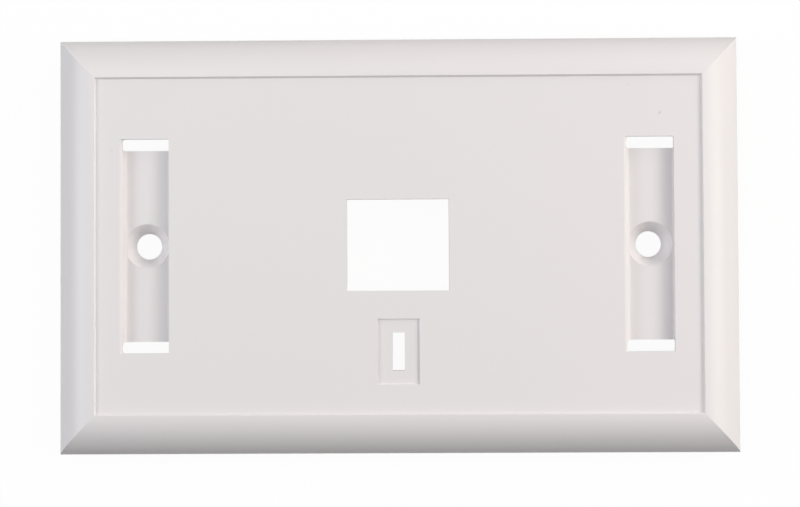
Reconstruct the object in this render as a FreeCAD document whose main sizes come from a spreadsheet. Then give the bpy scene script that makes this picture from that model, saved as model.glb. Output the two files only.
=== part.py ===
import FreeCAD, Part
import Sketcher
import math
import os

# Single-gang wall faceplate for one keystone jack, injection moulded in one piece.
# A rounded rim frames a slightly sunken panel. The jack port is in the middle, with a narrow
# label trough at each end of it and a shallow recess for an icon beside it. The floor of each
# trough holds a countersunk screw hole and a slot at either end for the clips of a cover.
# Frame: X runs along the plate, Y across it and Z from the wall towards the room.
# The origin is on the axis of the port, at the back face of the jack housing.
# All lengths are in millimetres and all angles in degrees.

DRIVING_SIZES = [
    ("plate_length", 114.3, "outline, 4.50 in"),
    ("plate_width", 69.85, "outline, 2.75 in"),
    ("rim_height", 7.5, "wall plane to the crest of the rim"),
    ("rim_skirt", 0.5, "upright edge of the rim at the wall plane"),
    ("rim_width", 7.0, "outline to the step down to the panel"),
    ("panel_step", 0.4, "crest of the rim down to the panel"),
    ("step_draft", 35.0, "slope of the step, from upright"),
    ("shell_wall", 2.2, "thickness of the rim and of the panel with its step"),
    ("port_length", 16.85, "jack opening along the plate"),
    ("port_width", 15.1, "jack opening across the plate"),
    ("port_depth", 9.8, "panel face to the back of the jack housing"),
    ("port_lip", 1.2, "thickness of the panel round the jack opening"),
    ("bay_relief", 0.7, "how far the sides of the housing stand back from the jack opening"),
    ("hook_relief", 0.4, "how far the fixed ledge stands back from the jack opening"),
    ("housing_wall", 1.6, "wall of the jack housing"),
    ("housing_corner", 1.0, "radius of its outer corners"),
    ("hook_ledge", 6.5, "panel face to the underside of the fixed ledge"),
    ("hook_recess", 2.0, "depth of the recess behind the fixed ledge, from the jack opening"),
    ("latch_ledge", 4.0, "panel face to the underside of the latch ledge"),
    ("latch_recess", 4.0, "depth of the recess behind the latch ledge, from the jack opening"),
    ("catch_height", 1.8, "height of the two catches at the back"),
    ("catch_lip", 0.5, "upright tip of each catch"),
    ("catch_reach", 1.4, "how far each catch reaches in from its recess"),
    ("screw_spacing", 83.3, "mounting screws, 3.28 in"),
    ("screw_hole", 4.3, "diameter, clearance for a No. 6 screw"),
    ("screw_head", 7.4, "diameter of the countersink at the floor of its trough"),
    ("screw_head_angle", 82.0, "included angle of the countersink"),
    ("trough_length", 35.4, "label trough across the plate, at the panel"),
    ("trough_width", 7.6, "label trough along the plate, at the panel"),
    ("trough_depth", 1.6, "panel face to the trough's floor"),
    ("trough_draft", 1.5, "slope of the trough's walls"),
    ("trough_floor", 2.2, "thickness of the floor"),
    ("trough_wall", 1.3, "how far the thick floor runs on beside the trough, behind the panel"),
    ("trough_corner", 1.0, "radius of its corners"),
    ("trough_round", 0.7, "radius of the rolled edge of each trough, towards -X"),
    ("trough_cove", 0.5, "radius at the foot of the rolled edge"),
    ("clip_slot", 1.85, "clip slots across the plate"),
    ("clip_overrun", 0.15, "how far the clip slots run on under the rolled edge"),
    ("clip_slot_corner", 0.4, "radius of their corners"),
    ("clip_ledge", 0.8, "thickness of the panel that the clips of a cover catch behind"),
    ("clip_relief", 0.8, "how far the recess behind that ledge stands back from the slot"),
    ("icon_length", 6.9, "icon recess along the plate"),
    ("icon_width", 10.8, "icon recess across the plate"),
    ("icon_depth", 0.3, "icon recess"),
    ("icon_offset", 17.57, "port axis to the middle of the icon recess"),
    ("icon_slot_length", 2.0, "slot in the icon recess, along the plate"),
    ("icon_slot_width", 6.25, "slot in the icon recess, across the plate"),
    ("rib_thickness", 1.2, "stiffening ribs behind the panel"),
    ("rib_height", 1.8, "how far the ribs stand off the back of the panel"),
]

# Levels above the back of the jack housing, as expressions over the sheet.
PANEL_FACE = "sizes.port_depth"
RIM_CREST = f"{PANEL_FACE} + sizes.panel_step"
WALL_PLANE = f"{RIM_CREST} - sizes.rim_height"
PANEL_BACK = f"{RIM_CREST} - sizes.shell_wall"
TROUGH_FLOOR = f"{PANEL_FACE} - sizes.trough_depth"
TROUGH_BACK = f"{TROUGH_FLOOR} - sizes.trough_floor"

# How far the sloping walls of a trough spread from the panel to the crest of the rim.
TROUGH_SPREAD = "sizes.panel_step * tan(sizes.trough_draft)"

# Room for the jack behind the panel, across the plate.
BAY_WIDTH = "(sizes.port_width + 2 * sizes.bay_relief)"

ENDS = (-1, 1)
TOUCHING = 1e-4

doc = FreeCAD.newDocument("keystone_faceplate")
sheet = doc.addObject("Spreadsheet::Sheet", "sizes")
for row, (name, value, note) in enumerate(DRIVING_SIZES, start=1):
    sheet.set(f"A{row}", name)
    sheet.set(f"B{row}", str(value))
    sheet.set(f"C{row}", note)
    sheet.setAlias(f"B{row}", name)
doc.recompute()

body = doc.addObject("PartDesign::Body", "faceplate")
body.Label = "faceplate"


def size(expression):
    """The present value of an expression over the sheet."""
    return float(sheet.evalExpression(expression.replace("sizes.", "")))


def origin_plane(role):
    """The body's own origin plane with this role."""
    return next(plane for plane in body.Origin.OriginFeatures if plane.Role == role)


def new_sketch(name, level="0", role="XY_Plane"):
    """An empty sketch on an origin plane, raised to a level given as an expression."""
    sketch = body.newObject("Sketcher::SketchObject", name)
    sketch.AttachmentSupport = [(origin_plane(role), "")]
    sketch.MapMode = "FlatFace"
    sketch.setExpression("AttachmentOffset.Base.z", level)
    return sketch


def bind(sketch, kind, references, expression):
    """A driving constraint whose value follows an expression."""
    index = sketch.addConstraint(Sketcher.Constraint(kind, *references, size(expression)))
    sketch.setExpression(f"Constraints[{index}]", expression)


def add_polygon(sketch, corners):
    """A closed polygon whose corners are pairs of expressions, measured from the origin."""
    points = [FreeCAD.Vector(size(across), size(up), 0) for across, up in corners]
    sides = [sketch.addGeometry(Part.LineSegment(start, end))
             for start, end in zip(points, points[1:] + points[:1])]
    for side, following in zip(sides, sides[1:] + sides[:1]):
        sketch.addConstraint(Sketcher.Constraint("Coincident", side, 2, following, 1))
    for side, (across, up) in zip(sides, corners):
        bind(sketch, "DistanceX", (-1, 1, side, 1), across)
        bind(sketch, "DistanceY", (-1, 1, side, 1), up)


def add_rectangle(sketch, length, width, x="0", y="0"):
    """A rectangle about the point x, y, with its length along the sketch's X."""
    left, right = f"{x} - ({length}) / 2", f"{x} + ({length}) / 2"
    bottom, top = f"{y} - ({width}) / 2", f"{y} + ({width}) / 2"
    add_polygon(sketch, [(left, bottom), (right, bottom), (right, top), (left, top)])


def add_rounded_rectangle(sketch, length, width, radius, x="0", y="0"):
    """A rectangle about the point x, y with four equal round corners."""
    left, right = f"{x} - ({length}) / 2", f"{x} + ({length}) / 2"
    bottom, top = f"{y} - ({width}) / 2", f"{y} + ({width}) / 2"
    inset = size(radius)
    quarter = math.pi / 2
    start = FreeCAD.Vector(size(left), size(bottom), 0)
    finish = FreeCAD.Vector(size(right), size(top), 0)
    middles = [(start.x + inset, start.y + inset), (finish.x - inset, start.y + inset),
               (finish.x - inset, finish.y - inset), (start.x + inset, finish.y - inset)]
    arcs = []
    for turn, middle in enumerate(middles, start=2):
        circle = Part.Circle(FreeCAD.Vector(*middle, 0), FreeCAD.Vector(0, 0, 1), inset)
        arcs.append(sketch.addGeometry(Part.ArcOfCircle(circle, turn * quarter, (turn + 1) * quarter)))
    sides = []
    for arc, following in zip(arcs, arcs[1:] + arcs[:1]):
        ends = sketch.getPoint(arc, 2), sketch.getPoint(following, 1)
        sides.append(sketch.addGeometry(Part.LineSegment(*ends)))
        sketch.addConstraint(Sketcher.Constraint("Tangent", arc, 2, sides[-1], 1))
        sketch.addConstraint(Sketcher.Constraint("Tangent", sides[-1], 2, following, 1))
    for number, (side, kind, place) in enumerate(zip(sides, "YXYX", (bottom, right, top, left))):
        sketch.addConstraint(Sketcher.Constraint("Horizontal" if kind == "Y" else "Vertical", side))
        bind(sketch, f"Distance{kind}", (-1, 1, side, 1), place)
        if number:
            sketch.addConstraint(Sketcher.Constraint("Equal", arcs[0], arcs[number]))
    bind(sketch, "Radius", (arcs[0],), radius)


def add_circle(sketch, diameter, x):
    """A circle with its centre at x on the sketch's X axis."""
    centre = FreeCAD.Vector(size(x), 0, 0)
    circle = sketch.addGeometry(Part.Circle(centre, FreeCAD.Vector(0, 0, 1), size(diameter) / 2))
    sketch.addConstraint(Sketcher.Constraint("PointOnObject", circle, 3, -1))
    bind(sketch, "DistanceX", (-1, 1, circle, 3), x)
    bind(sketch, "Diameter", (circle,), diameter)


def extrude(kind, name, sketch, length, up=True, draft=None, both_ways=False):
    """A Pad or a Pocket that runs up, down or both ways from its sketch, with an optional draft."""
    feature = body.newObject(f"PartDesign::{kind}", name)
    feature.Profile = sketch
    feature.Reversed = up != (kind == "Pad")
    feature.Midplane = both_ways
    feature.setExpression("Length", length)
    if draft:
        feature.setExpression("TaperAngle", draft)
    doc.recompute()
    return feature


def round_edges(name, feature, radius, chosen):
    """A fillet along the straight edges of a feature that chosen accepts by their two ends."""
    edges = [f"Edge{number}" for number, edge in enumerate(feature.Shape.Edges, start=1)
             if len(edge.Vertexes) == 2 and chosen(*(vertex.Point for vertex in edge.Vertexes))]
    fillet = body.newObject("PartDesign::Fillet", name)
    fillet.Base = (feature, edges)
    fillet.setExpression("Radius", radius)
    doc.recompute()
    return fillet


def same(one, other):
    """Whether two lengths or levels are equal."""
    return abs(one - other) < TOUCHING


def lies_at(level):
    """A test for edges that lie at a level."""
    return lambda start, end: same(start.z, size(level)) and same(end.z, size(level))


def borders_trough(lowest, highest):
    """A test for the long edge of each trough that lies towards -X, between two levels."""
    reach = size(f"sizes.trough_width / 2 + {TROUGH_SPREAD}") + TOUCHING
    half_length = size(f"sizes.trough_length / 2 + {TROUGH_SPREAD}") + TOUCHING
    middles = [end_of_plate * size("sizes.screw_spacing") / 2 for end_of_plate in ENDS]

    def chosen(start, end):
        return (same(start.x, end.x) and same(start.z, end.z)
                and size(lowest) - TOUCHING < start.z < size(highest) + TOUCHING
                and max(abs(start.y), abs(end.y)) < half_length
                and any(0 < middle - start.x < reach for middle in middles))

    return chosen


# Outer form: a block with its four upper edges rolled over into the rim, mitred at the corners.
outline_sketch = new_sketch("outline_sketch", WALL_PLANE)
add_rectangle(outline_sketch, "sizes.plate_length", "sizes.plate_width")
outline = extrude("Pad", "outline", outline_sketch, "sizes.rim_height")
round_edges("rim", outline, "sizes.rim_height - sizes.rim_skirt", lies_at(RIM_CREST))

# The panel lies a small sloping step below the crest of the rim.
panel_sketch = new_sketch("panel_sketch", RIM_CREST)
add_rectangle(panel_sketch, "sizes.plate_length - 2 * sizes.rim_width",
              "sizes.plate_width - 2 * sizes.rim_width")
extrude("Pocket", "panel", panel_sketch, "sizes.panel_step", up=False, draft="-sizes.step_draft")

# The back is hollow and follows the curve of the rim one wall further in.
hollow_sketch = new_sketch("hollow_sketch", WALL_PLANE)
add_rectangle(hollow_sketch, "sizes.plate_length - 2 * sizes.shell_wall",
              "sizes.plate_width - 2 * sizes.shell_wall")
hollow = extrude("Pocket", "hollow", hollow_sketch, "sizes.rim_height - sizes.shell_wall")
round_edges("shell", hollow, "sizes.rim_height - sizes.rim_skirt - sizes.shell_wall", lies_at(PANEL_BACK))

# Behind the panel stand the jack housing, a thick floor for each trough and two ribs between them.
housing_sketch = new_sketch("housing_sketch")
add_rounded_rectangle(housing_sketch,
                      "sizes.port_length + sizes.hook_recess + sizes.latch_recess + 2 * sizes.housing_wall",
                      f"{BAY_WIDTH} + 2 * sizes.housing_wall", "sizes.housing_corner",
                      x="(sizes.latch_recess - sizes.hook_recess) / 2")
extrude("Pad", "housing", housing_sketch, "sizes.port_depth")

trough_back_sketch = new_sketch("trough_back_sketch", TROUGH_BACK)
for end in ENDS:
    add_rounded_rectangle(trough_back_sketch, "sizes.trough_width + 2 * sizes.trough_wall",
                          "sizes.trough_length - 2 * sizes.clip_slot", "sizes.trough_corner",
                          x=f"{end} * sizes.screw_spacing / 2")
extrude("Pad", "trough_backs", trough_back_sketch, "sizes.trough_depth + sizes.trough_floor")

rib_sketch = new_sketch("rib_sketch", PANEL_BACK)
for side in ENDS:
    add_rectangle(rib_sketch, "sizes.screw_spacing", "sizes.rib_thickness",
                  y=f"{side} * ({BAY_WIDTH} + sizes.housing_wall) / 2")
extrude("Pad", "ribs", rib_sketch, "sizes.rib_height", up=False)

# Label troughs, each with a rolled edge towards -X. They and their slots are cut from the level of
# the crest down, so that one which reaches into the rim of a short plate still opens to the front.
trough_sketch = new_sketch("trough_sketch", RIM_CREST)
for end in ENDS:
    add_rectangle(trough_sketch, f"sizes.trough_width + 2 * {TROUGH_SPREAD}",
                  f"sizes.trough_length + 2 * {TROUGH_SPREAD}", x=f"{end} * sizes.screw_spacing / 2")
troughs = extrude("Pocket", "troughs", trough_sketch, "sizes.panel_step + sizes.trough_depth", up=False,
                  draft="-sizes.trough_draft")
rolled_edges = round_edges("rolled_edges", troughs, "sizes.trough_round",
                           borders_trough(PANEL_FACE, RIM_CREST))
round_edges("trough_coves", rolled_edges, "sizes.trough_cove", borders_trough(TROUGH_FLOOR, TROUGH_FLOOR))

# At either end of a trough a slot goes right through, and behind it the panel is cut back to a
# ledge on the three outer sides, for the clip of a cover.
clip_slot_sketch = new_sketch("clip_slot_sketch", RIM_CREST)
clip_relief_sketch = new_sketch("clip_relief_sketch", PANEL_BACK)
for end in ENDS:
    for side in ENDS:
        middle = f"{end} * sizes.screw_spacing / 2 - sizes.clip_overrun / 2"
        add_rounded_rectangle(clip_slot_sketch, "sizes.trough_width + sizes.clip_overrun", "sizes.clip_slot",
                              "sizes.clip_slot_corner", x=middle,
                              y=f"{side} * (sizes.trough_length - sizes.clip_slot) / 2")
        add_rectangle(clip_relief_sketch,
                      "sizes.trough_width + sizes.clip_overrun + 2 * sizes.clip_relief",
                      "sizes.clip_slot + sizes.clip_relief", x=middle,
                      y=f"{side} * (sizes.trough_length - sizes.clip_slot + sizes.clip_relief) / 2")
extrude("Pocket", "clip_slots", clip_slot_sketch, "sizes.panel_step + sizes.shell_wall", up=False)
extrude("Pocket", "clip_reliefs", clip_relief_sketch, f"{PANEL_FACE} - ({PANEL_BACK}) - sizes.clip_ledge")

# Screw holes in the middle of the floors, countersunk for oval-head screws.
screw_sketch = new_sketch("screw_sketch", TROUGH_FLOOR)
for end in ENDS:
    add_circle(screw_sketch, "sizes.screw_hole", x=f"{end} * sizes.screw_spacing / 2")
doc.recompute()
screw_holes = body.newObject("PartDesign::Hole", "screw_holes")
screw_holes.Profile = screw_sketch
screw_holes.DepthType = "ThroughAll"
screw_holes.HoleCutType = "Countersink"
screw_holes.HoleCutCustomValues = True
screw_holes.setExpression("Diameter", "sizes.screw_hole")
screw_holes.setExpression("HoleCutDiameter", "sizes.screw_head")
screw_holes.setExpression("HoleCutCountersinkAngle", "sizes.screw_head_angle")
doc.recompute()

# The jack's opening through the panel, and behind it the bay that the jack snaps into, as a section
# along the plate. Towards -X is the fixed ledge that a jack hooks behind, towards +X the deeper
# recess for its latch, and at the back a catch on each side.
port_sketch = new_sketch("port_sketch", PANEL_FACE)
add_rectangle(port_sketch, "sizes.port_length", "sizes.port_width")
extrude("Pocket", "port", port_sketch, "sizes.port_depth", up=False)

bay_sketch = new_sketch("bay_sketch", role="XZ_Plane")
hook_face = "-sizes.port_length / 2 - sizes.hook_relief"
hook_wall = "-sizes.port_length / 2 - sizes.hook_recess"
latch_wall = "sizes.port_length / 2 + sizes.latch_recess"
hook_catch = f"{hook_wall} + sizes.catch_reach"
latch_catch = f"{latch_wall} - sizes.catch_reach"
add_polygon(bay_sketch, [
    (hook_face, f"{PANEL_FACE} - sizes.port_lip"),
    (hook_face, f"{PANEL_FACE} - sizes.hook_ledge"),
    (hook_wall, f"{PANEL_FACE} - sizes.hook_ledge"),
    (hook_wall, "sizes.catch_height"),
    (hook_catch, "sizes.catch_lip"),
    (hook_catch, "-sizes.catch_lip"),
    (latch_catch, "-sizes.catch_lip"),
    (latch_catch, "sizes.catch_lip"),
    (latch_wall, "sizes.catch_height"),
    (latch_wall, f"{PANEL_FACE} - sizes.latch_ledge"),
    ("sizes.port_length / 2", f"{PANEL_FACE} - sizes.latch_ledge"),
    ("sizes.port_length / 2", f"{PANEL_FACE} - sizes.port_lip"),
])
extrude("Pocket", "bay", bay_sketch, BAY_WIDTH, both_ways=True)

# Icon recess beside the port, with a slot through the panel for the icon's peg.
icon_sketch = new_sketch("icon_sketch", PANEL_FACE)
add_rectangle(icon_sketch, "sizes.icon_length", "sizes.icon_width", y="-sizes.icon_offset")
extrude("Pocket", "icon_recess", icon_sketch, "sizes.icon_depth", up=False)

icon_slot_sketch = new_sketch("icon_slot_sketch", PANEL_FACE)
add_rectangle(icon_slot_sketch, "sizes.icon_slot_length", "sizes.icon_slot_width", y="-sizes.icon_offset")
extrude("Pocket", "icon_slot", icon_slot_sketch, "sizes.shell_wall", up=False)

doc.recompute()


def check_model():
    """Stop on a failed object, a feature that does nothing or the wrong way, or a broken solid."""
    for item in doc.Objects:
        if {"Invalid", "Error"} & set(item.State):
            raise RuntimeError(f"{item.Label} failed: {item.State}")
    features = [item for item in body.Group if item.isDerivedFrom("PartDesign::Feature")]
    for earlier, later in zip(features, features[1:]):
        change = later.Shape.Volume - earlier.Shape.Volume
        adds = later.isDerivedFrom("PartDesign::Pad")
        cuts = later.isDerivedFrom("PartDesign::Pocket") or later.isDerivedFrom("PartDesign::Hole")
        print(f"{later.Label:24} {change:10.2f} mm3")
        if same(change, 0) or (adds and change < 0) or (cuts and change > 0):
            raise RuntimeError(f"{later.Label} changes the volume by {change}")
    if body.Shape.isNull() or not body.Shape.isValid() or len(body.Shape.Solids) != 1:
        raise RuntimeError("the faceplate is not one valid solid")


check_model()
os.makedirs("parts", exist_ok=True)
body.Shape.exportStep(f"parts/{body.Label}.step")
print(f"volume {body.Shape.Volume:.1f} mm3, box {body.Shape.optimalBoundingBox()}")
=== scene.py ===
import bpy
import math
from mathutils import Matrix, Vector


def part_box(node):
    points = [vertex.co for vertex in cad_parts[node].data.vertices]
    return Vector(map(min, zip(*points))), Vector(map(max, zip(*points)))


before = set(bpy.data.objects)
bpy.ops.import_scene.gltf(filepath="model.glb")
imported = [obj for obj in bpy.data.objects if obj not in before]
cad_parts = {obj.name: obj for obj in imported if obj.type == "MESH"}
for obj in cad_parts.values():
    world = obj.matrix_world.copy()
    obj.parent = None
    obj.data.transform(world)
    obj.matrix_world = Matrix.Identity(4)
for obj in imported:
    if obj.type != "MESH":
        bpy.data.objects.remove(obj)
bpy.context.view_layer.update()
print("frame loaded")

# White plastic, all lengths in metres.
plastic = {
    "colour": (0.808, 0.766, 0.781, 1.0),
    "cloudColour": (0.796, 0.760, 0.768, 1.0),  # the colour drifts towards this one
    "cloudSize": 0.016,
    "cloudDetail": 3,
    "rimRoughness": 0.45,
    "panelRoughness": 0.60,
    "panelHalfLength": 0.04990,  # the sunken panel inside the rim
    "panelHalfWidth": 0.02768,
    "panelDrop": 0.0004,  # from the crest of the rim down to its face
    "panelBand": 0.00005,  # how far from that level still counts as its face
    "grainSize": 0.00030,
    "grainDetail": 2,
    "grainDepth": 0.000004,
    "speckColour": (0.41, 0.38, 0.39, 1.0),
    "specks": (  # faint dirt on the panel
        {"place": (0.04316, 0.02156), "radius": 0.00042, "strength": 0.38},
        {"place": (0.03794, 0.02622), "radius": 0.00036, "strength": 0.15},
        {"place": (-0.04730, 0.01585), "radius": 0.00042, "strength": 0.17},
    ),
}


def emptyMaterial(name):
    material = bpy.data.materials.new(name)
    material.use_nodes = True
    material.node_tree.nodes.clear()
    return material, material.node_tree


def mathNode(tree, operation, first, second=0.0):
    node = tree.nodes.new("ShaderNodeMath")
    node.operation = operation
    for socket, value in zip(node.inputs, (first, second)):
        if isinstance(value, bpy.types.NodeSocket):
            tree.links.new(value, socket)
        else:
            socket.default_value = value
    return node.outputs[0]


def mixColours(tree, share, first, second):
    mix = tree.nodes.new("ShaderNodeMix")
    mix.data_type = "RGBA"
    tree.links.new(share, mix.inputs[0])
    # inputs 6 and 7 and output 2 are the ones for colours
    for socket, colour in zip((mix.inputs[6], mix.inputs[7]), (first, second)):
        if isinstance(colour, bpy.types.NodeSocket):
            tree.links.new(colour, socket)
        else:
            socket.default_value = colour
    return mix.outputs[2]


def noisePattern(tree, position, size, detail):
    noise = tree.nodes.new("ShaderNodeTexNoise")
    noise.inputs["Scale"].default_value = 1 / size
    noise.inputs["Detail"].default_value = detail
    tree.links.new(position, noise.inputs["Vector"])
    return noise.outputs["Fac"]


def panelMask(tree, place, panelFace):
    # 1 on the textured face of the panel, 0 on the rim and inside every recess
    across = mathNode(tree, "ABSOLUTE", place["X"])
    up = mathNode(tree, "ABSOLUTE", place["Y"])
    height = mathNode(tree, "SUBTRACT", place["Z"], panelFace)
    height = mathNode(tree, "ABSOLUTE", height)
    inLength = mathNode(tree, "LESS_THAN", across, plastic["panelHalfLength"])
    inWidth = mathNode(tree, "LESS_THAN", up, plastic["panelHalfWidth"])
    onFace = mathNode(tree, "LESS_THAN", height, plastic["panelBand"])
    return mathNode(tree, "MULTIPLY", mathNode(tree, "MULTIPLY", inLength, inWidth), onFace)


def speckMask(tree, place, panel):
    # how strongly a speck covers each point of the panel
    total = 0.0
    for speck in plastic["specks"]:
        across = mathNode(tree, "SUBTRACT", place["X"], speck["place"][0])
        up = mathNode(tree, "SUBTRACT", place["Y"], speck["place"][1])
        squares = [mathNode(tree, "MULTIPLY", side, side) for side in (across, up)]
        distance = mathNode(tree, "SQRT", mathNode(tree, "ADD", *squares))
        spot = tree.nodes.new("ShaderNodeMapRange")
        spot.interpolation_type = "SMOOTHSTEP"
        spot.inputs["From Max"].default_value = speck["radius"]
        spot.inputs["To Min"].default_value = speck["strength"]
        spot.inputs["To Max"].default_value = 0
        tree.links.new(distance, spot.inputs["Value"])
        total = mathNode(tree, "ADD", spot.outputs["Result"], total)
    return mathNode(tree, "MULTIPLY", total, panel)


def whitePlastic(panelFace):
    material, tree = emptyMaterial("white_plastic")
    output = tree.nodes.new("ShaderNodeOutputMaterial")
    shader = tree.nodes.new("ShaderNodeBsdfPrincipled")
    position = tree.nodes.new("ShaderNodeTexCoord").outputs["Object"]
    split = tree.nodes.new("ShaderNodeSeparateXYZ")
    tree.links.new(position, split.inputs[0])
    panel = panelMask(tree, split.outputs, panelFace)

    clouds = noisePattern(tree, position, plastic["cloudSize"], plastic["cloudDetail"])
    colour = mixColours(tree, clouds, plastic["colour"], plastic["cloudColour"])
    dirt = speckMask(tree, split.outputs, panel)
    colour = mixColours(tree, dirt, colour, plastic["speckColour"])
    tree.links.new(colour, shader.inputs["Base Color"])

    roughness = tree.nodes.new("ShaderNodeMapRange")
    roughness.inputs["To Min"].default_value = plastic["rimRoughness"]
    roughness.inputs["To Max"].default_value = plastic["panelRoughness"]
    tree.links.new(panel, roughness.inputs["Value"])
    tree.links.new(roughness.outputs["Result"], shader.inputs["Roughness"])

    grain = noisePattern(tree, position, plastic["grainSize"], plastic["grainDetail"])
    bump = tree.nodes.new("ShaderNodeBump")
    bump.inputs["Distance"].default_value = plastic["grainDepth"]
    tree.links.new(mathNode(tree, "MULTIPLY", grain, panel), bump.inputs["Height"])
    tree.links.new(bump.outputs["Normal"], shader.inputs["Normal"])
    tree.links.new(shader.outputs["BSDF"], output.inputs["Surface"])
    return material


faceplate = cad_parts["faceplate"]
faceplate.data.materials.clear()
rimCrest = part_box("faceplate")[1][2]
faceplate.data.materials.append(whitePlastic(rimCrest - plastic["panelDrop"]))
print("faceplate finished:", len(faceplate.data.polygons), "triangles")

studio = {
    # each lamp leans from overhead by lean, towards the side at turn,
    # in degrees anticlockwise from +X, and has its power in watts
    "lamps": {
        "right": {"power": 0.66, "lean": 48, "turn": 0, "distance": 0.70, "size": 0.45},
        "farRight": {"power": 1.07, "lean": 58, "turn": 0, "distance": 0.60, "size": 0.25},
        "highRight": {"power": 0.39, "lean": 30, "turn": 0, "distance": 0.60, "size": 0.25},
        "backRight": {"power": 0.20, "lean": 30, "turn": 45, "distance": 0.60, "size": 0.25},
        "lowBackRight": {"power": 2.04, "lean": 70, "turn": 45, "distance": 0.70, "size": 0.40},
        "left": {"power": 1.47, "lean": 58, "turn": 180, "distance": 0.60, "size": 0.25},
        "backLeft": {"power": 0.76, "lean": 30, "turn": 135, "distance": 0.60, "size": 0.25},
        "front": {"power": 0.14, "lean": 58, "turn": 270, "distance": 0.60, "size": 0.25},
    },
    "warm": (1.035, 1.01, 0.955),  # the lamps on the right
    "cool": (0.965, 1.0, 1.03),  # all other lamps
    "skyLevel": 0.05,
    "floorBounce": (0.20, 0.20, 0.20, 1.0),  # the light that the floor throws back
    "floorColour": (0.90, 0.90, 0.90, 1.0),  # as seen and as reflected, under the shadow
    "floorWhite": 0.96,  # the share of plain white over that
    "floorSize": 3.0,
    "floorGap": 0.00005,  # keeps the floor off the lowest face
}


def paleFloor():
    material, tree = emptyMaterial("floor")
    output = tree.nodes.new("ShaderNodeOutputMaterial")
    path = tree.nodes.new("ShaderNodeLightPath").outputs
    seen = mathNode(tree, "MAXIMUM", path["Is Camera Ray"], path["Is Glossy Ray"])
    seen = mathNode(tree, "MAXIMUM", seen, path["Is Transmission Ray"])
    diffuse = tree.nodes.new("ShaderNodeBsdfDiffuse")
    colour = mixColours(tree, seen, studio["floorBounce"], studio["floorColour"])
    tree.links.new(colour, diffuse.inputs["Color"])
    white = tree.nodes.new("ShaderNodeEmission")
    white.inputs["Strength"].default_value = 1
    mix = tree.nodes.new("ShaderNodeMixShader")
    tree.links.new(mathNode(tree, "MULTIPLY", seen, studio["floorWhite"]), mix.inputs[0])
    tree.links.new(diffuse.outputs[0], mix.inputs[1])
    tree.links.new(white.outputs[0], mix.inputs[2])
    tree.links.new(mix.outputs[0], output.inputs["Surface"])
    return material


def softLamp(name, power, lean, turn, distance, size):
    light = bpy.data.lights.new(name, "AREA")
    light.energy = power
    light.size = size
    light.color = studio["warm"] if turn < 90 else studio["cool"]
    lamp = bpy.data.objects.new(name, light)
    bpy.context.scene.collection.objects.link(lamp)
    lamp.rotation_euler = (0, math.radians(lean), math.radians(turn))
    lamp.location = lamp.rotation_euler.to_matrix() @ Vector((0, 0, distance))


floorPlace = (0, 0, -studio["floorGap"])
bpy.ops.mesh.primitive_plane_add(size=studio["floorSize"], location=floorPlace)
floor = bpy.context.object
floor.name = "floor"
floor.data.materials.append(paleFloor())

for name, lamp in studio["lamps"].items():
    softLamp(name, **lamp)

scene = bpy.context.scene
world = bpy.data.worlds.new("studio")
world.use_nodes = True
sky = world.node_tree.nodes["Background"]
sky.inputs["Color"].default_value = (1, 1, 1, 1)
sky.inputs["Strength"].default_value = studio["skyLevel"]
scene.world = world
scene.view_settings.view_transform = "Standard"
print("studio lit")

view = {
    "place": (0.00312, -0.00696, 0.25258),
    "turn": (1.300, 0.672, -0.294),  # degrees about X, Y and Z
    "lens": 66.37,  # with the sensor width, in millimetres
    "sensorWidth": 36,
    "nearest": 0.01,  # metres from the lens that it starts to see
}

lens = bpy.data.cameras.new("camera")
lens.lens = view["lens"]
lens.sensor_width = view["sensorWidth"]
lens.clip_start = view["nearest"]
camera = bpy.data.objects.new("camera", lens)
scene.collection.objects.link(camera)
camera.location = view["place"]
camera.rotation_euler = [math.radians(angle) for angle in view["turn"]]
scene.camera = camera
print("camera placed")
